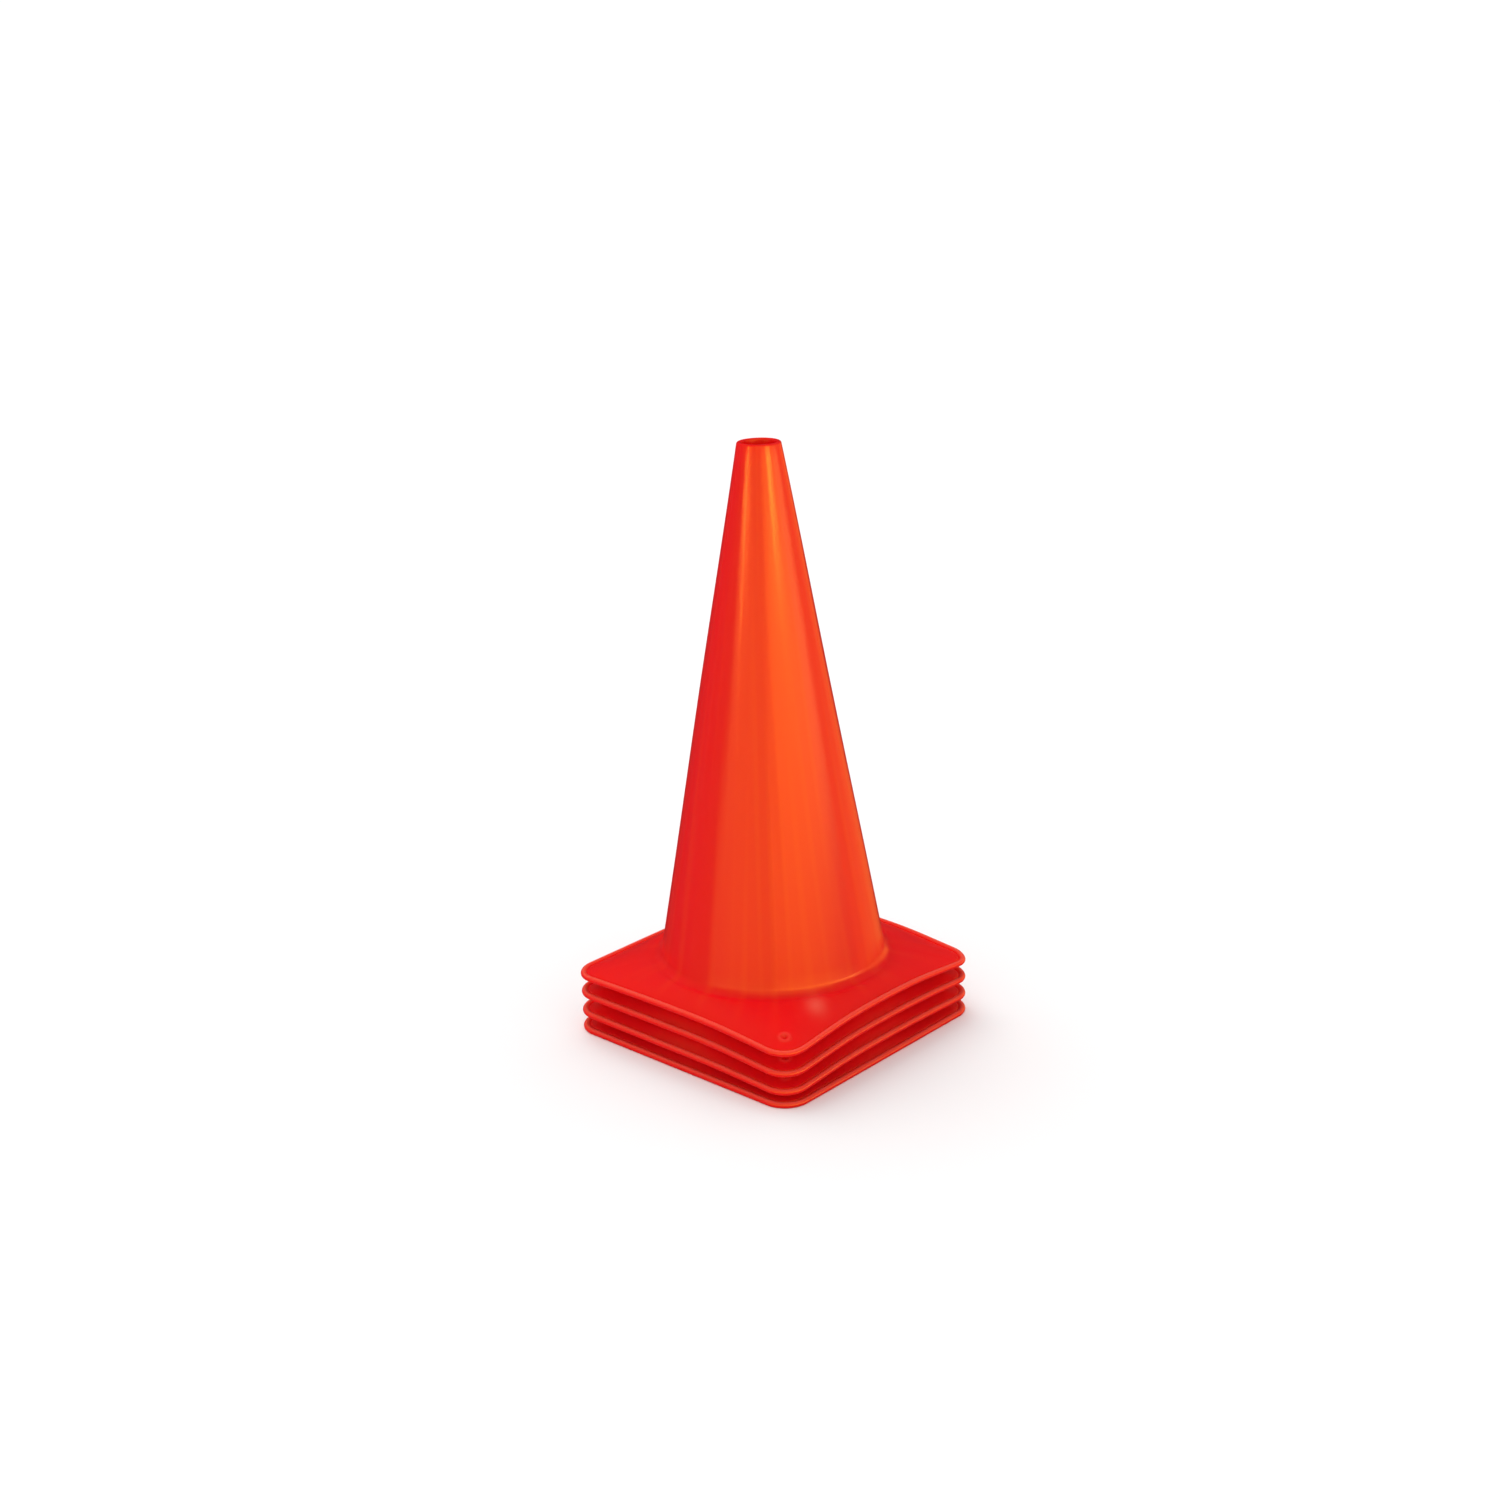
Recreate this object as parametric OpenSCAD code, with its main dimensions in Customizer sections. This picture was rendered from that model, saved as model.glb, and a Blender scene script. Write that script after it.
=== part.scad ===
// A stack of four nested one-piece field cones.
// Every cone is the same moulding: a thin hollow taper, open at the top, that
// turns out at its foot into a square, shallow dished base with a beaded lip.
// All sizes are in millimetres, +Z is up, and the origin is on the floor in
// the middle of the bottom cone's base.

/* [Cone] */
// Height of one cone, from the underside of its lip to the top of its rim
cone_h = 457; // [440:1:480]
// Outer radius of the taper at the rim
rim_r = 18; // [17:0.5:22]
// Outer radius that the taper would reach if it ran down to the floor
foot_r = 100; // [94:0.5:102]
// Thickness of the moulded wall, all over
wall = 2.8; // [2:0.05:3]

/* [Base] */
// Length of each side of the square base
base_w = 252; // [244:1:270]
// Radius of the base's corners, seen from above
corner_r = 24; // [16:1:36]
// Height of the base's top face where the taper's foot meets it
crown_h = 12; // [10:0.5:16]
// Radius of the hollow curve that joins the taper to the base
foot_curve_r = 9; // [6:0.5:10]
// Radius of the round bead that runs along the edge of the base
bead_r = 2.5; // [2.2:0.1:3]

/* [Rim] */
// Radius of the round hole in the top, which also takes a marker pole
hole_r = 14.5; // [13:0.5:15]
// Height of the thicker collar of wall around that hole
collar_h = 12; // [9:0.5:14]

/* [Stack] */
// Clearance between the walls of two nested cones, square to the wall
nest_gap = 0.34; // [0.3:0.02:0.6]

/* [Hidden] */
$fn = 96;

// The taper narrows by taper_slope for each millimetre of height.
taper_slope = (foot_r - rim_r) / cone_h;
half_angle = atan(taper_slope);
wall_across = wall / cos(half_angle);
// Two nested cones sit this far apart in height.
pitch = (wall + nest_gap) / sin(half_angle);

// The rim is one round bead, tangent to the taper outside and to the hole inside.
rim_bead_r = (rim_r - hole_r) / (1 + 1 / cos(half_angle) - taper_slope);
rim_bead_x = hole_r + rim_bead_r;
rim_bead_z = cone_h - rim_bead_r;

// The foot curve's centre: tangent to the taper and level with the crown.
foot_z = crown_h + foot_curve_r;
foot_x = outer_r(foot_z) + foot_curve_r / cos(half_angle);

// The bead's centre is low enough for the floor to cut a flat along its underside.
bead_flat_depth = 0.3;
bead_z = bead_r - bead_flat_depth;
// The base sheet starts just inside the bead, which leaves a shallow groove there.
sheet_inset = 1.8 * bead_r;
sheet_edge_z = 1.4 * bead_r;
sheet_edge_h = 0.4;
over = 1;

function outer_r(z) = foot_r - taper_slope * z;
function inner_r(z) = outer_r(z) - wall_across;

// Half of the taper's outline, seen from the side, with the rounded rim on top.
module taper_outline() {
    touch_x = rim_bead_x + rim_bead_r * cos(half_angle);
    touch_z = rim_bead_z + rim_bead_r * sin(half_angle);
    polygon([
        [0, crown_h - wall],
        [outer_r(crown_h - wall), crown_h - wall],
        [touch_x, touch_z],
        [rim_bead_x, rim_bead_z],
        [0, rim_bead_z]
    ]);
    translate([rim_bead_x, rim_bead_z]) circle(r = rim_bead_r);
}

// Half of the space inside the taper, up to the collar around the hole.
module taper_hollow() {
    collar_z = cone_h - collar_h;
    lead_in = inner_r(collar_z) - hole_r;
    polygon([
        [0, -over],
        [inner_r(-over), -over],
        [inner_r(collar_z - lead_in), collar_z - lead_in],
        [hole_r, collar_z],
        [0, collar_z]
    ]);
}

// The corner between a taper's side and a level line, hollowed by a round curve.
// side_x is where the taper's side meets the level line at level_z.
module foot_corner(side_x, level_z, curve_r) {
    difference() {
        polygon([
            [side_x - over, level_z - over],
            [foot_x, level_z - over],
            [foot_x, level_z],
            [foot_x - curve_r * cos(half_angle), foot_z - curve_r * sin(half_angle)],
            [side_x - over, foot_z]
        ]);
        translate([foot_x, foot_z]) circle(r = curve_r);
    }
}

// A dished sheet's solid: a round crown that spreads down to a rounded square.
module dish(crown_z, edge_z, depth) {
    half = base_w / 2 - corner_r;
    hull() {
        translate([0, 0, crown_z - over]) cylinder(h = over, r = foot_x);
        for (x = [-half, half], y = [-half, half])
            translate([x, y, edge_z - depth])
                cylinder(h = depth, r = corner_r - sheet_inset, $fn = 48);
    }
}

// The bead's cross-section: a circle with a flat underside, at x = 0.
module bead_section() {
    difference() {
        translate([0, bead_z]) circle(r = bead_r, $fn = 48);
        translate([-bead_r, -2 * bead_r]) square([2 * bead_r, 2 * bead_r]);
    }
}

// The bead follows the edge: a straight stretch and a quarter turn, four times.
module lip_bead() {
    half = base_w / 2 - corner_r;
    for (turn = [0:90:270])
        rotate([0, 0, turn]) {
            translate([base_w / 2 - bead_r, half, 0])
                rotate([90, 0, 0]) linear_extrude(height = 2 * half) bead_section();
            translate([half, half, 0])
                rotate_extrude(angle = 90)
                    translate([corner_r - bead_r, 0]) bead_section();
        }
}

// One cone, standing on the floor.
module cone_moulding() {
    difference() {
        union() {
            rotate_extrude() taper_outline();
            rotate_extrude() foot_corner(outer_r(crown_h), crown_h, foot_curve_r);
            dish(crown_h, sheet_edge_z, sheet_edge_h);
        }
        rotate_extrude() taper_hollow();
        rotate_extrude()
            foot_corner(inner_r(crown_h - wall), crown_h - wall, foot_curve_r + wall);
        dish(crown_h - wall, sheet_edge_z - wall, sheet_edge_h + 2 * wall);
        translate([0, 0, cone_h - collar_h - over])
            cylinder(h = collar_h + 2 * over, r = hole_r);
    }
    lip_bead();
}

// A cone at its place in the stack, counted from the floor up.
module nested_cone(level) {
    translate([0, 0, level * pitch]) cone_moulding();
}

module bottom_cone() { color("#d8231f") nested_cone(0); }
module second_cone() { color("#dd261f") nested_cone(1); }
module third_cone() { color("#e22a1f") nested_cone(2); }
module top_cone() { color("#ee3a22") nested_cone(3); }

bottom_cone();
second_cone();
third_cone();
top_cone();
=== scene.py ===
# %% [markdown]
# # A stack of four nested field cones
#
# Soft plastic cones for a playing field or a works floor are kept in stacks.
# Each cone is one hollow moulding, and only the top one is seen whole: of the
# others just the edge of the square base shows.
#
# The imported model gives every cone's place and size. This script makes the
# surfaces that are seen, gives them their plastic, and lights them.

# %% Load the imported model
import math

import bpy
import numpy as np
from mathutils import Matrix, Vector


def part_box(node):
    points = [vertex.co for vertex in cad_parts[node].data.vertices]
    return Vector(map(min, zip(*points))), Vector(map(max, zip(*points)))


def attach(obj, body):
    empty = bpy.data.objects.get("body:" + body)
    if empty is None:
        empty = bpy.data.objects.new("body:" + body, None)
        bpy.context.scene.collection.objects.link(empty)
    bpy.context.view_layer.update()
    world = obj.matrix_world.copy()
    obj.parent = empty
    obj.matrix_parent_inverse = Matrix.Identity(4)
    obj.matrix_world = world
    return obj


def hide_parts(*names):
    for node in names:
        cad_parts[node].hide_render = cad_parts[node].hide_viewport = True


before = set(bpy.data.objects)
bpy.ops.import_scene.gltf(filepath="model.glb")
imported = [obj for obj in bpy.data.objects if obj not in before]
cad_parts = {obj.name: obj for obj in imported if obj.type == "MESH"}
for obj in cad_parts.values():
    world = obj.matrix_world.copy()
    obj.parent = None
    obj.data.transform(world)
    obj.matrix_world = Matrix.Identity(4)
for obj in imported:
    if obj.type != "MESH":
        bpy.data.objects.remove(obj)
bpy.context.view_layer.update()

# %% [markdown]
# ## Sizes
#
# The height, the width of the base and the step from one nested cone to the
# next are read from the model, so the surfaces always land where the solids
# are. The rest are the moulding's own sizes, which a maker would read off a
# drawing of its cross-section.

# %% Read the model, then name the moulding's sizes
MM = 0.001
CONES = ["bottom_cone", "second_cone", "third_cone", "top_cone"]

cone_low, cone_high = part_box(CONES[0])
cone_height = cone_high.z - cone_low.z
half_base = cone_high.x
nest_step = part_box(CONES[1])[0].z - cone_low.z

rim_radius = 18 * MM
foot_radius = 100 * MM
wall = 2.8 * MM
hole_radius = 14.5 * MM
collar_height = 12 * MM
crown_height = 12 * MM
foot_curve = 9 * MM
corner_radius = 24 * MM
bead_radius = 2.5 * MM
print("height", round(cone_height, 4), "half base", round(half_base, 4), "step", round(nest_step, 5))

# %% [markdown]
# ## The cross-section
#
# A turner would cut this cone as a profile and spin it. The taper, the rim
# and the curve at the foot really are round, but the base is square, so the
# profile is kept as a list of rows and each row knows how square it is.
#
# A row holds five numbers: how far a round row reaches from the axis, how
# square it is from 0 to 1, how far a square row is set in from the base's
# edge, its height, and how much it follows the sag of the soft base.

# %% A row of the cross-section, and the lines that its arcs touch
def rows(reach=0.0, square=0.0, inset=0.0, height=0.0, sag=0.0):
    """One row for each point of the profile: five columns, and a single number is repeated down its own."""
    return np.stack(np.broadcast_arrays(reach, square, inset, height, sag), axis=-1)


def arc(centre_x, centre_z, radius, start, end, count):
    """Points on a circle: the centre plus the radius times the cosine and sine of each angle, in degrees."""
    turn = np.radians(np.linspace(start, end, count))
    return centre_x + radius * np.cos(turn), centre_z + radius * np.sin(turn)


slope = (foot_radius - rim_radius) / cone_height
lean = math.atan(slope)
lean_degrees = math.degrees(lean)

rim_bead = (rim_radius - hole_radius) / (1 + 1 / math.cos(lean) - slope)
rim_x = hole_radius + rim_bead
rim_z = cone_height - rim_bead
foot_z = crown_height + foot_curve
foot_x = foot_radius - slope * foot_z + foot_curve / math.cos(lean)
print("the taper leans", round(lean_degrees, 2), "degrees; its foot ends at", round(foot_x / MM, 1), "mm")

# %% [markdown]
# ## Down the outside
#
# From the hole the skin rolls over the rim, runs straight down the taper and
# turns out in a hollow curve. The base sheet then falls to the lip. It starts
# level, because the curve ends level, and steepens towards the edge, which a
# power a little above 1 gives.

# %% Outer rows: rim, taper, foot curve and sheet
SHEET_INSET = 7.2 * MM
SHEET_EDGE = 3.9 * MM
FALL_POWER = 1.3


def sheet(level_drop, count):
    """The base sheet from crown to edge: straight in plan, and its fall grows as a power of the way out."""
    out = np.linspace(0, 1, count)
    fall = out ** FALL_POWER
    height = crown_height + (SHEET_EDGE - crown_height) * fall - level_drop
    return rows(foot_x, out, SHEET_INSET, height, fall)


def straight(first, last, count):
    """Rows between two rows, in equal steps, without the two themselves."""
    way = np.linspace(0, 1, count + 2)[1:-1, None]
    return first * (1 - way) + last * way


reach, height = arc(rim_x, rim_z, rim_bead, 180, lean_degrees, count=14)
rim_rows = rows(reach=reach, height=height)
reach, height = arc(foot_x, foot_z, foot_curve, 180 + lean_degrees, 270, count=12)
foot_rows = rows(reach=reach, height=height)
taper_rows = straight(rim_rows[-1], foot_rows[0], count=42)
sheet_rows = sheet(level_drop=0.0, count=56)[1:]
outside = np.concatenate([rim_rows, taper_rows, foot_rows, sheet_rows])
print("outer rows:", len(outside))

# %% [markdown]
# ## Around the lip
#
# The edge is a round bead with a shallow groove just inside it, so that a
# soft base keeps its outline. The bead catches a bright line and the groove a
# dark one, and those two lines are what tells the stacked bases apart. Its
# underside is flat where it stands on the floor.

# %% Lip rows: groove, bead and flat underside
FLAT_DEPTH = 0.3 * MM
GROOVE_DEPTH = 0.9 * MM
# Where the skin joins and leaves the bead, in degrees round its circle.
BEAD_START = 150
UNDERSIDE_END = 200

bead_height = bead_radius - FLAT_DEPTH
flat_angle = math.degrees(math.asin(bead_height / bead_radius))
reach, height = arc(0, bead_height, bead_radius, BEAD_START, -flat_angle, count=24)
bead_rows = rows(square=1.0, inset=bead_radius - reach, height=height, sag=1.0)

way = np.linspace(0, 1, 8)[1:-1]
groove_inset = SHEET_INSET + (bead_rows[0, 2] - SHEET_INSET) * way
groove_height = SHEET_EDGE + (bead_rows[0, 3] - SHEET_EDGE) * way
groove_height = groove_height - GROOVE_DEPTH * np.sin(np.pi * way) ** 2
groove_rows = rows(square=1.0, inset=groove_inset, height=groove_height, sag=1.0)

reach, height = arc(0, bead_height, bead_radius, 180 + flat_angle, UNDERSIDE_END, count=5)
under_rows = rows(square=1.0, inset=bead_radius - reach, height=height, sag=1.0)
lip = np.concatenate([groove_rows, bead_rows, under_rows])
print("lip rows:", len(lip), "bead top at", round(float(bead_rows[:, 3].max()) / MM, 2), "mm")

# %% [markdown]
# ## Back up the inside
#
# The wall is the same thickness all over, so the inside repeats the outside
# one wall away: the sheet a wall lower, the foot curve a wall larger, the
# taper a wall closer in. Near the top it closes on a collar around the hole.
# The last row meets the first, so the skin is one closed tube of rows.

# %% Inner rows, and the whole profile
inside_sheet = sheet(level_drop=wall, count=18)[::-1]
reach, height = arc(foot_x, foot_z, foot_curve + wall, 270, 180 + lean_degrees, count=8)
inside_foot = rows(reach=reach, height=height)


def inner_radius(height):
    """Radius inside the taper: the outer line at that height, less the wall measured level."""
    return foot_radius - slope * height - wall / math.cos(lean)


collar_z = cone_height - collar_height
lead_in = inner_radius(collar_z) - hole_radius
collar_low = rows(inner_radius(collar_z - lead_in), 0, 0, collar_z - lead_in, 0)
collar_rows = rows(hole_radius, 0, 0, np.linspace(collar_z, rim_z, 6)[:-1], 0)
inside_taper = straight(inside_foot[-1], collar_low, count=16)

profile = np.concatenate([outside, lip, inside_sheet, inside_foot[1:], inside_taper,
                          collar_low[None], collar_rows])
outer_row = np.arange(len(profile)) < len(outside)
print("rows in the whole profile:", len(profile))

# %% [markdown]
# ## Round and square at once
#
# Every row is swept once around the axis. A round row keeps its distance, a
# square row follows a square with rounded corners, and the rows between them
# are a mixture: that is what makes the dished base flow from circle to square.
# The columns are packed closer at the corners, where the outline turns fast.

# %% Plan shape: a rounded square seen from its middle
COLUMNS = 448
CROWDING = 0.45

even = np.linspace(0, 2 * np.pi, COLUMNS, endpoint=False)
angle = even + CROWDING * np.sin(4 * even) / 4
cosine, sine = np.cos(angle), np.sin(angle)


def square_reach(inset):
    """Distance from the axis to a rounded square. Along a flat side it is the half width over the cosine.
    Past the side's end it is where the ray leaves the corner's circle, the larger root of a quadratic."""
    side, across = np.maximum(abs(cosine), abs(sine)), np.minimum(abs(cosine), abs(sine))
    middle = half_base - corner_radius
    half, round_off = half_base - inset, corner_radius - inset
    flat = half / side
    to_circle = middle * (side + across)
    corner = to_circle + np.sqrt(np.maximum(to_circle ** 2 - 2 * middle ** 2 + round_off ** 2, 0))
    return np.where(flat * across <= middle, flat, corner)


print("side reach", round(float(square_reach(0.0).min()), 4),
      "corner reach", round(float(square_reach(0.0).max()), 4))

# %% [markdown]
# ## Soft plastic is never quite true
#
# Off the floor, a thin base sags: the sides a little and the corners, which
# reach out furthest, by several millimetres. The bottom cone stands on the
# floor and lies flat. A cloth simulation could find the sag, but eight chosen
# drops for each cone and a smooth blend between them are simpler and stay
# where they are put.

# %% Sag of the lip
# In millimetres: the middles of the right, back, left and front sides, then the corners that follow them.
SIDE_DROP = {"bottom_cone": (0, 0, 0, 0), "second_cone": (0.5, 1.0, 1.0, 3.0),
             "third_cone": (0.6, 0.0, 2.0, 2.3), "top_cone": (-0.6, -1.0, 3.0, 1.7)}
CORNER_DROP = {"bottom_cone": (0, 0, 0, 0), "second_cone": (3.0, 2.5, 2.5, 6.3),
               "third_cone": (4.8, 3.5, 2.6, 8.0), "top_cone": (6.6, 4.0, 3.4, 7.6)}
BLEND_POWER = 2.6


def lip_sag(cone):
    """Height of the lip's bow. Each side has a drop at its middle and each corner has its own, and a blend
    that is level at both ends goes between them. Corner n is at the end of side n, counting from +X."""
    turn = (np.degrees(angle) + 45) % 360
    side = (turn // 90).astype(int)
    corner = np.where(turn % 90 > 45, side, (side + 3) % 4)
    along = np.minimum(abs(cosine), abs(sine)) / np.maximum(abs(cosine), abs(sine))
    at_side, at_corner = np.array(SIDE_DROP[cone])[side], np.array(CORNER_DROP[cone])[corner]
    return -MM * (at_side + (at_corner - at_side) * (1 - (1 - along ** BLEND_POWER) ** 2))


print("lip bow of the top cone, mm:", round(float(np.ptp(lip_sag("top_cone"))) / MM, 2))

# %% [markdown]
# ## Waves and streaks on the taper
#
# A moulded taper is out of round by a fraction of a millimetre, and the melt
# leaves faint upright streaks as it fills the mould. Neither shows as a shape,
# but both make a reflection waver, which a perfect cone never does. All four
# cones come from one mould, so they share the waves and nested walls stay
# apart.

# %% A taper slightly out of round, with flow streaks
OUT_OF_ROUND = 0.22 * MM
FLOW_RELIEF = 0.08 * MM
FLOW_SEED = 12


def out_of_round(height):
    """Outward shift of the taper: 3, 5 and 11 waves around it, each weaker than the last, that turn a little
    with height. The root of a half sine fades them out at the rim and the foot."""
    up = np.clip((height - crown_height) / (rim_z - crown_height), 0, 1)
    fade = np.sin(np.pi * up) ** 0.5
    waves = np.sin(3 * angle + 5 * up) + 0.6 * np.sin(5 * angle - 9 * up)
    waves = waves + 0.35 * np.sin(11 * angle + 6 * up)
    return OUT_OF_ROUND * fade * waves


def flow_lines(height):
    """Streaks that the melt leaves as it runs up the mould: many waves around the cone, each with its own
    phase that drifts a little with height. The sum runs from about -1 to 1 and fades towards the rim."""
    chance = np.random.default_rng(FLOW_SEED)
    up = np.clip(height / cone_height, 0, 1)
    total = 0
    for around in np.arange(13, 54, 3):
        phase, drift, beat = chance.uniform(0, 2 * np.pi, 3)
        total = total + np.sin(around * angle + phase + drift * up) * np.sin(2 + 4 * up + beat)
    return total / 4 * (1 - 0.6 * up)


streaks = flow_lines(profile[:, 3, None])
print("streaks run from", round(float(streaks.min()), 2), "to", round(float(streaks.max()), 2))

# %% [markdown]
# ## Two small marks
#
# Near the front corner of every base the mould leaves a low ring around a
# dimple. It is part of the surface, so it is added to the height; the ring
# also gets a painted highlight. Beside the top cone's foot a pale patch is a
# painted highlight, the glint of the light there. Neither highlight changes a
# shape, so both are kept as an amount for the material to read.

# %% A moulded mark and a painted highlight patch
MARK_AT = (104.7 * MM, -104.7 * MM)
RING_RADIUS, RING_WIDTH, RING_RELIEF = 4.0 * MM, 1.4 * MM, 0.7 * MM
DIMPLE_RADIUS, DIMPLE_DEPTH = 2.0 * MM, 2.0 * MM
# The patch is a painted highlight: a pale glint of the light beside the top cone's foot.
PATCH_AT = (98 * MM, -58 * MM)
PATCH_OUTWARD, PATCH_ACROSS = 11 * MM, 8 * MM


def corner_ring(x, y):
    """1 along a small circle, fading to both sides as a bell curve of the distance from it."""
    away = np.hypot(x - MARK_AT[0], y - MARK_AT[1])
    return np.exp(-((away - RING_RADIUS) / RING_WIDTH) ** 2)


def corner_mark(x, y):
    """Height added by the moulded mark: the low ring, less a dimple that is a bell curve of the distance from
    the mark's middle."""
    away = np.hypot(x - MARK_AT[0], y - MARK_AT[1])
    return RING_RELIEF * corner_ring(x, y) - DIMPLE_DEPTH * np.exp(-(away / DIMPLE_RADIUS) ** 2)


def painted_highlight_patch(x, y, height):
    """1 in the middle of a painted highlight patch beside the foot, fading as a bell curve that is a little
    longer towards the front corner than it is across. It also fades to 0 up the foot's curve."""
    from_x, from_y = x - PATCH_AT[0], y - PATCH_AT[1]
    outward, across = (from_x - from_y) / math.sqrt(2), (from_x + from_y) / math.sqrt(2)
    climb = np.clip((foot_z - height) / foot_curve, 0, 1)
    return climb * np.exp(-(outward / PATCH_OUTWARD) ** 2 - (across / PATCH_ACROSS) ** 2)


print("the mark changes the height by", round(float(corner_mark(*MARK_AT)) / MM, 1), "mm at its middle")

# %% [markdown]
# ## The grid of points
#
# Rows and columns now meet. Each row gives a distance and a height for every
# column at once, the waves and streaks push the round rows out or in, and the
# sag and the mark are added to the height. Whole arrays do this in one step,
# with no loop over points.

# %% Every row along every column
def cone_points(cone, level):
    """Grid of points: each row's distance along each column's angle, and its height with the sag added."""
    reach, square, inset, height, sag = (column[:, None] for column in profile.T)
    distance = (1 - square) * reach + square * square_reach(inset)
    distance = distance + (out_of_round(height) + FLOW_RELIEF * flow_lines(height)) * (square == 0)
    z = height + sag * lip_sag(cone) + level * nest_step
    z = z + (outer_row[:, None] & (square > 0)) * corner_mark(distance * cosine, distance * sine)
    return np.stack([distance * cosine, distance * sine, z], axis=-1)


print("grid of the top cone:", cone_points(CONES[-1], 3).shape)

# %% [markdown]
# ## From a grid to a mesh
#
# Neighbouring rows and columns make the faces. Both directions close on
# themselves, so there is no seam to weld and no pole to cap. A closed skin
# whose faces point outwards encloses a positive volume, which is an easy test.

# %% Faces of a grid that closes on itself
def grid_faces(row_count, column_count):
    """Four-cornered faces between each grid point and the next row and column, wrapping both ways."""
    here = np.arange(row_count * column_count).reshape(row_count, column_count)
    below, beside = np.roll(here, -1, axis=0), np.roll(here, -1, axis=1)
    opposite = np.roll(below, -1, axis=1)
    return np.stack([here, below, opposite, beside], axis=-1).reshape(-1, 4)


def enclosed_volume(points, faces):
    """Each triangle and the origin make a pyramid, whose volume is a sixth of its corners' triple product."""
    a, b, c, d = (points[faces[:, corner]] for corner in range(4))
    return float(np.sum(a * (np.cross(b, c) + np.cross(c, d)))) / 6


print("a grid of 3 rows and 4 columns has", len(grid_faces(3, 4)), "faces")

# %% [markdown]
# ## What the finish needs to know
#
# The plastic is not the same all over: the taper has its streaks, and the top
# of the bead gets a painted highlight, a pale line where the light catches it.
# Painting that by hand would be slow and hard to change. An attribute, one
# number for each vertex, carries it from the shape to the material.

# %% Attributes and the painted highlights
# Share of the painted highlight on the raised ring, where the light catches it.
RING_HIGHLIGHT_SHARE = 0.45


def add_attribute(mesh, name, values):
    """Stores one number for each vertex under a name that a material can read."""
    attribute = mesh.attributes.new(name, "FLOAT", "POINT")
    attribute.data.foreach_set("value", np.ascontiguousarray(values, np.float32).ravel())


def lip_highlight():
    """Painted highlight along the lip: 1 along the bead's top and 0 from its middle height down, the square
    of the height above that.
    """
    square, inset, height = profile[:, 1], profile[:, 2], profile[:, 3]
    above = np.clip((height - bead_height) / bead_radius, 0, 1)
    return np.where((square == 1) & (inset < 2 * bead_radius), above ** 2, 0)


def painted_highlight_amount(cone, x, y):
    """How much painted highlight each vertex gets, from 0 to 1: the bead's top, the raised ring, and the top
    cone's patch.
    """
    outer, sheet_row = outer_row[:, None], profile[:, 1, None] > 0
    patch = outer * painted_highlight_patch(x, y, profile[:, 3, None]) * (cone == CONES[-1])
    return lip_highlight()[:, None] + RING_HIGHLIGHT_SHARE * (outer & sheet_row) * corner_ring(x, y) + patch


print("rows with a rubbed lip:", int((lip_highlight() > 0).sum()))

# %% [markdown]
# ## The four cones
#
# Each cone is one moulding, so it is one mesh. It is made in its place in the
# stack, rides on its own solid when the stack is taken apart, and stands in
# for that solid in the picture.

# %% Make the cones
def make_cone(cone, level):
    """One cone's closed skin, in its place in the stack."""
    grid = cone_points(cone, level)
    points, faces = grid.reshape(-1, 3), grid_faces(*grid.shape[:2])
    mesh = bpy.data.meshes.new(cone + "_skin")
    mesh.vertices.add(len(points))
    mesh.vertices.foreach_set("co", points.astype(np.float32).ravel())
    mesh.loops.add(faces.size)
    mesh.loops.foreach_set("vertex_index", faces.astype(np.int32).ravel())
    mesh.polygons.add(len(faces))
    mesh.polygons.foreach_set("loop_start", np.arange(0, faces.size, 4, dtype=np.int32))
    mesh.update(calc_edges=True)
    mesh.shade_smooth()
    flow = (1 - profile[:, 1, None]) * flow_lines(profile[:, 3, None])
    add_attribute(mesh, "flow", flow)
    # This attribute carries the painted highlights: the bead's top, the ring and the patch.
    add_attribute(mesh, "painted_highlight", painted_highlight_amount(cone, grid[:, :, 0], grid[:, :, 1]))
    made = bpy.data.objects.new(cone + "_skin", mesh)
    bpy.context.scene.collection.objects.link(made)
    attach(made, cone)
    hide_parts(cone)
    print(made.name, len(faces), "faces,", round(enclosed_volume(points, faces) * 1e6, 1), "cm3")
    return made


skins = [make_cone(cone, level) for level, cone in enumerate(CONES)]

# %% [markdown]
# ## Two helpers for materials
#
# Colours are easiest to name as the hex codes of a paint chart, but light adds
# up in linear numbers, so one function turns the first into the second. A
# second one adds a node and wires it up, which keeps a material short enough
# to read.

# %% A colour and a node
def linear(hex_colour):
    """sRGB hex to linear: a channel over 12.92 up to 0.04045, else ((c + 0.055) / 1.055) to the power 2.4."""
    channels = [int(hex_colour[i:i + 2], 16) / 255 for i in (1, 3, 5)]
    return [c / 12.92 if c <= 0.04045 else ((c + 0.055) / 1.055) ** 2.4 for c in channels] + [1.0]


def add_node(tree, kind, settings=(), links=()):
    """Adds a node: a setting is a property or an input's value, and a link is an input's source."""
    made = tree.nodes.new(kind)
    for key, value in dict(settings).items():
        if isinstance(key, str) and hasattr(made, key):
            setattr(made, key, value)
        else:
            made.inputs[key].default_value = value
    for key, source in dict(links).items():
        tree.links.new(source, made.inputs[key])
    return made


print("middle grey in linear light:", [round(c, 3) for c in linear("#808080")])

# %% [markdown]
# ## The plastic
#
# The cones are moulded from soft PVC with a red pigment all through. Its skin
# is semi-gloss: light sinks in a little and comes out redder, and what it
# mirrors comes back softened and warm, which turns a red cone orange wherever
# it faces a bright wall. The gloss is the same all over. The pigment is not:
# it has slow clouds and paler streaks up the taper. On top of it go painted
# highlights: a pale line along the bead's top, a pale raised ring and a pale
# patch beside the top cone's foot. The wall is thin enough for some red light
# to come through it, so the gaps between nested cones stay red instead of
# going black.

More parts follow.
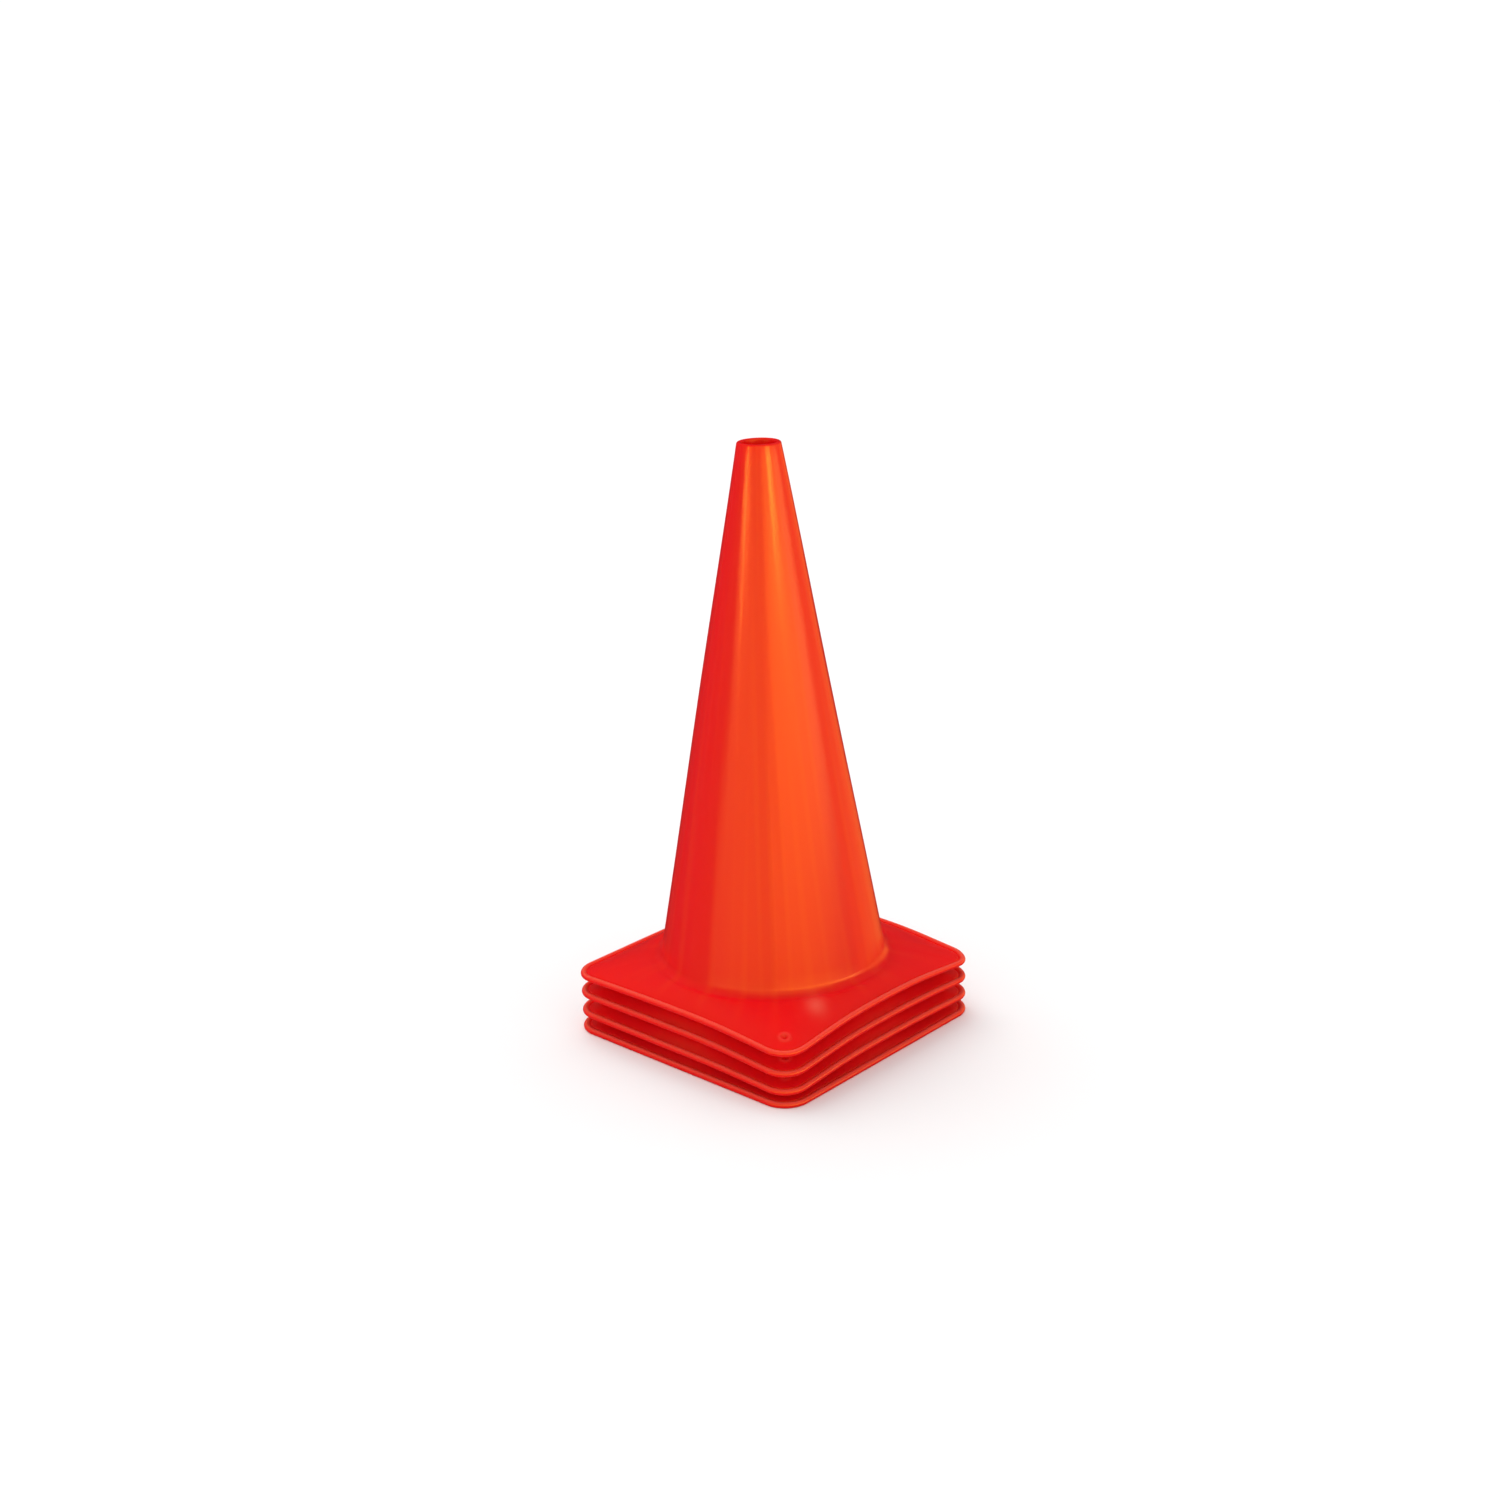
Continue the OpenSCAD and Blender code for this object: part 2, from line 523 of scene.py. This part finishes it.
# %% Moulded soft PVC
PIGMENT = "#f5081b"
PIGMENT_PALE = "#f5161d"
STREAK = "#f92a1c"
# Pale colour painted where the light catches the bead's top, the ring and the patch: a painted highlight.
HIGHLIGHT_PAINT = "#ff5c4c"
WARM_REFLECTION = "#ffb040"
CLOUDS = 50 * MM
# The real grain is finer, and too fine to show from here, so it is drawn coarser.
GRAIN = 1.2 * MM


def moulded_pvc(name):
    """Semi-gloss soft PVC: one pigment with slow clouds in it, flow streaks, a grain and painted highlights.
    """
    material = bpy.data.materials.new(name)
    material.use_nodes = True
    tree = material.node_tree
    shader = tree.nodes["Principled BSDF"]
    place = add_node(tree, "ShaderNodeTexCoord").outputs["Object"]
    flow = add_node(tree, "ShaderNodeAttribute", {"attribute_name": "flow"}).outputs["Fac"]
    painted_highlight = add_node(tree, "ShaderNodeAttribute", {"attribute_name": "painted_highlight"}).outputs["Fac"]

    clouds = add_node(tree, "ShaderNodeTexNoise", {"Scale": 1 / CLOUDS, "Detail": 3.0}, {"Vector": place})
    grain = add_node(tree, "ShaderNodeTexNoise", {"Scale": 1 / GRAIN, "Detail": 1.0}, {"Vector": place})

    cloudy = add_node(tree, "ShaderNodeMix",
                      {"data_type": "RGBA", 6: linear(PIGMENT), 7: linear(PIGMENT_PALE)},
                      {0: clouds.outputs["Fac"]})
    streak_amount = add_node(tree, "ShaderNodeMath",
                             {"operation": "MULTIPLY", "use_clamp": True, 1: 0.7}, {0: flow})
    streaky = add_node(tree, "ShaderNodeMix", {"data_type": "RGBA", 7: linear(STREAK)},
                       {0: streak_amount.outputs[0], 6: cloudy.outputs[2]})
    # Mixes in the painted highlights.
    highlight_share = add_node(tree, "ShaderNodeMath", {"operation": "MULTIPLY", 1: 0.9}, {0: painted_highlight})
    colour = add_node(tree, "ShaderNodeMix", {"data_type": "RGBA", 7: linear(HIGHLIGHT_PAINT)},
                      {0: highlight_share.outputs[0], 6: streaky.outputs[2]})
    pebble = add_node(tree, "ShaderNodeBump", {"Strength": 0.12, "Distance": 0.08 * MM},
                      {"Height": grain.outputs["Fac"]})

    shader.inputs["Roughness"].default_value = 0.28
    shader.inputs["IOR"].default_value = 1.53
    shader.inputs["Specular IOR Level"].default_value = 1.0
    shader.inputs["Specular Tint"].default_value = linear(WARM_REFLECTION)
    shader.inputs["Subsurface Weight"].default_value = 0.5
    shader.inputs["Subsurface Radius"].default_value = (1.0, 0.2, 0.1)
    shader.inputs["Subsurface Scale"].default_value = 4.0 * MM
    tree.links.new(colour.outputs[2], shader.inputs["Base Color"])
    tree.links.new(pebble.outputs[0], shader.inputs["Normal"])
    return material


plastic = moulded_pvc("moulded_soft_pvc")
for skin in skins:
    skin.data.materials.append(plastic)
print("nodes in the plastic:", len(plastic.node_tree.nodes))

# %% [markdown]
# ## Camera
#
# The viewer stands in front of one corner of the bases, a little over a metre
# and a half away and above the rim, and looks down. The lens is a normal one,
# near 50 mm, and the camera is tipped by under two degrees, as a hand-held
# one is.

# %% Place the camera
# In metres, then degrees, and the sensor in millimetres.
CAMERA_AWAY = 1.644
CAMERA_HEIGHT = 0.797
CAMERA_ROUND = 42.24
LOOK_DOWN = 18.43
LOOK_RIGHT = -0.515
TIP = -1.80
FIELD_OF_VIEW = 40.1
SENSOR_WIDTH = 36


def camera_axes(bearing, down, tip):
    """Right, up and forward of a camera that faces a bearing, looks down and is then tipped."""
    forward = Vector((math.sin(bearing) * math.cos(down), math.cos(bearing) * math.cos(down),
                      -math.sin(down)))
    level = Vector((math.cos(bearing), -math.sin(bearing), 0))
    upright = level.cross(forward)
    right = math.cos(tip) * level + math.sin(tip) * upright
    up = -math.sin(tip) * level + math.cos(tip) * upright
    return right, up, forward


round_z = Matrix.Rotation(math.radians(CAMERA_ROUND), 3, "Z")
right, up, forward = (round_z @ axis for axis in camera_axes(
    math.radians(LOOK_RIGHT), math.radians(LOOK_DOWN), math.radians(TIP)))
camera_data = bpy.data.cameras.new("camera")
camera_data.sensor_width = SENSOR_WIDTH
camera_data.lens = SENSOR_WIDTH / 2 / math.tan(math.radians(FIELD_OF_VIEW) / 2)
camera = bpy.data.objects.new("camera", camera_data)
turned = Matrix((right, up, -forward)).transposed().to_4x4()
camera.matrix_world = Matrix.Translation(round_z @ Vector((0, -CAMERA_AWAY, CAMERA_HEIGHT))) @ turned
bpy.context.scene.collection.objects.link(camera)
bpy.context.scene.camera = camera
print("lens", round(camera_data.lens, 2), "mm at", [round(c, 3) for c in camera.location])

# %% [markdown]
# ## Floor
#
# The floor is a wide sweep of matt white. It is kept out of reflections, so
# that the underside of every base and the foot of the taper mirror a dim room
# and stay a deep red.

# %% Pale floor
FLOOR_REACH = 30.0
floor_mesh = bpy.data.meshes.new("floor")
corners = [(x * FLOOR_REACH, y * FLOOR_REACH, 0) for x, y in ((-1, -1), (1, -1), (1, 1), (-1, 1))]
floor_mesh.from_pydata(corners, [], [(0, 1, 2, 3)])
floor = bpy.data.objects.new("floor", floor_mesh)
bpy.context.scene.collection.objects.link(floor)
floor.visible_glossy = False

floor_paint = bpy.data.materials.new("matt_white_paint")
floor_paint.use_nodes = True
floor_shader = floor_paint.node_tree.nodes["Principled BSDF"]
floor_shader.inputs["Base Color"].default_value = linear("#fafafa")
floor_shader.inputs["Roughness"].default_value = 0.9
floor_shader.inputs["Specular IOR Level"].default_value = 0.1
floor_mesh.materials.append(floor_paint)
print("floor", 2 * FLOOR_REACH, "m across")

# %% [markdown]
# ## What lights the cones and what they mirror
#
# On a glossy cone these are two separate jobs. A broad lamp gives the light
# and the soft shadow, and is not mirrored. Bright cards give the reflections,
# and light nothing. A long warm one on the right makes the broad orange band,
# and the dimmer side card carries it to the edge. Two small ones close by are
# mirrored only near the rim. Nothing stands at the far left, which keeps that
# side red.

# %% Reflection cards
def direction(round_from_view, up):
    """Level direction so many degrees round from the viewer, then raised by so many degrees."""
    bearing, lift = math.radians(CAMERA_ROUND + round_from_view), math.radians(up)
    return Vector((math.sin(bearing) * math.cos(lift), -math.cos(bearing) * math.cos(lift), math.sin(lift)))


def softbox(name, round_from_view, up, away, width, tall, radiance, colour="#ffffff",
            target=0.25, spread=180):
    """A bright card that only shows in reflections. It faces a point on the axis, at the target's height,
    from a distance away. Its power is the radiance times pi times its area. A spread below 180 degrees is
    a grid in front of it that gathers the power into the middle, by tan(h) / (tan(h) - h) where h is half
    the spread."""
    light = bpy.data.lights.new(name, "AREA")
    light.shape = "RECTANGLE"
    light.size, light.size_y = width, tall
    half = math.radians(spread) / 2
    gain = 1 if spread == 180 else math.tan(half) / (math.tan(half) - half)
    light.spread = 2 * half
    light.energy = radiance * math.pi * width * tall / gain
    light.color = linear(colour)[:3]
    way = direction(round_from_view, up)
    made = bpy.data.objects.new(name, light)
    spot = Vector((0, 0, target)) + away * way
    made.matrix_world = Matrix.Translation(spot) @ (-way).to_track_quat("-Z", "Y").to_matrix().to_4x4()
    made.visible_camera = False
    made.visible_diffuse = False
    bpy.context.scene.collection.objects.link(made)
    return made


# Degrees round and up, metres away, wide and tall, then the radiance.
cards = [
    softbox("right_wall", 47, 4, 3.0, 5.9, 1.3, 3.6, "#ffe8cc"),
    softbox("right_side", 121, -5, 3.0, 3.3, 2.1, 1.4, "#ffa038"),
    softbox("left_wall", -32, 2, 3.0, 3.6, 1.4, 1.35),
    softbox("upper_wall", 15, 36, 3.0, 5.0, 2.4, 0.6),
    softbox("right_window", 41, 8, 1.05, 0.3, 0.2, 17.0, "#fff0d8", target=0.52, spread=44),
    softbox("left_window", -52, 8, 1.05, 0.08, 0.3, 34.0, "#fff0d8", target=0.52, spread=44),
]
print("cards:", [card.name for card in cards])

# %% [markdown]
# ## The lamp that gives the light
#
# A softbox seen from the cones is wide, and that blurs the edge of a shadow. A
# sun lamp with a wide angle does the same with one number, and its distance
# does not matter. It is not mirrored, because the cards do that job.

# %% One broad lamp, high at the back on the left
LAMP_STRENGTH = 0.85
LAMP_WIDTH = 50
LAMP_ROUND, LAMP_UP = -140, 62

sun = bpy.data.lights.new("high_softlight", "SUN")
sun.energy, sun.angle = LAMP_STRENGTH, math.radians(LAMP_WIDTH)
high_softlight = bpy.data.objects.new("high_softlight", sun)
facing = (-direction(LAMP_ROUND, LAMP_UP)).to_track_quat("-Z", "Y")
high_softlight.matrix_world = facing.to_matrix().to_4x4()
high_softlight.visible_glossy = False
bpy.context.scene.collection.objects.link(high_softlight)
print("lamp:", LAMP_WIDTH, "degrees wide")

# %% [markdown]
# ## Surroundings
#
# A white room fills the shadows and makes the backdrop. If the cones mirrored
# all of it they would look dusty, so reflections see a dim version. The Light
# Path node tells the world which kind of ray is asking.

# %% A white room that the cones mirror only dimly
BACKDROP, ROOM, MIRRORED = 1.05, 0.89, 0.03

world = bpy.data.worlds.new("studio")
bpy.context.scene.world = world
world.use_nodes = True
tree = world.node_tree
tree.nodes.clear()
ray = add_node(tree, "ShaderNodeLightPath")
backdrop, room, mirrored = (
    add_node(tree, "ShaderNodeBackground", {"Color": linear("#ffffff"), "Strength": strength}).outputs[0]
    for strength in (BACKDROP, ROOM, MIRRORED))
unseen = add_node(tree, "ShaderNodeMixShader", (),
                  {0: ray.outputs["Is Glossy Ray"], 1: room, 2: mirrored})
mixed = add_node(tree, "ShaderNodeMixShader", (),
                 {0: ray.outputs["Is Camera Ray"], 1: unseen.outputs[0], 2: backdrop})
add_node(tree, "ShaderNodeOutputWorld", (), {"Surface": mixed.outputs[0]})
bpy.context.scene.view_settings.view_transform = "Standard"
print("world nodes:", len(tree.nodes))
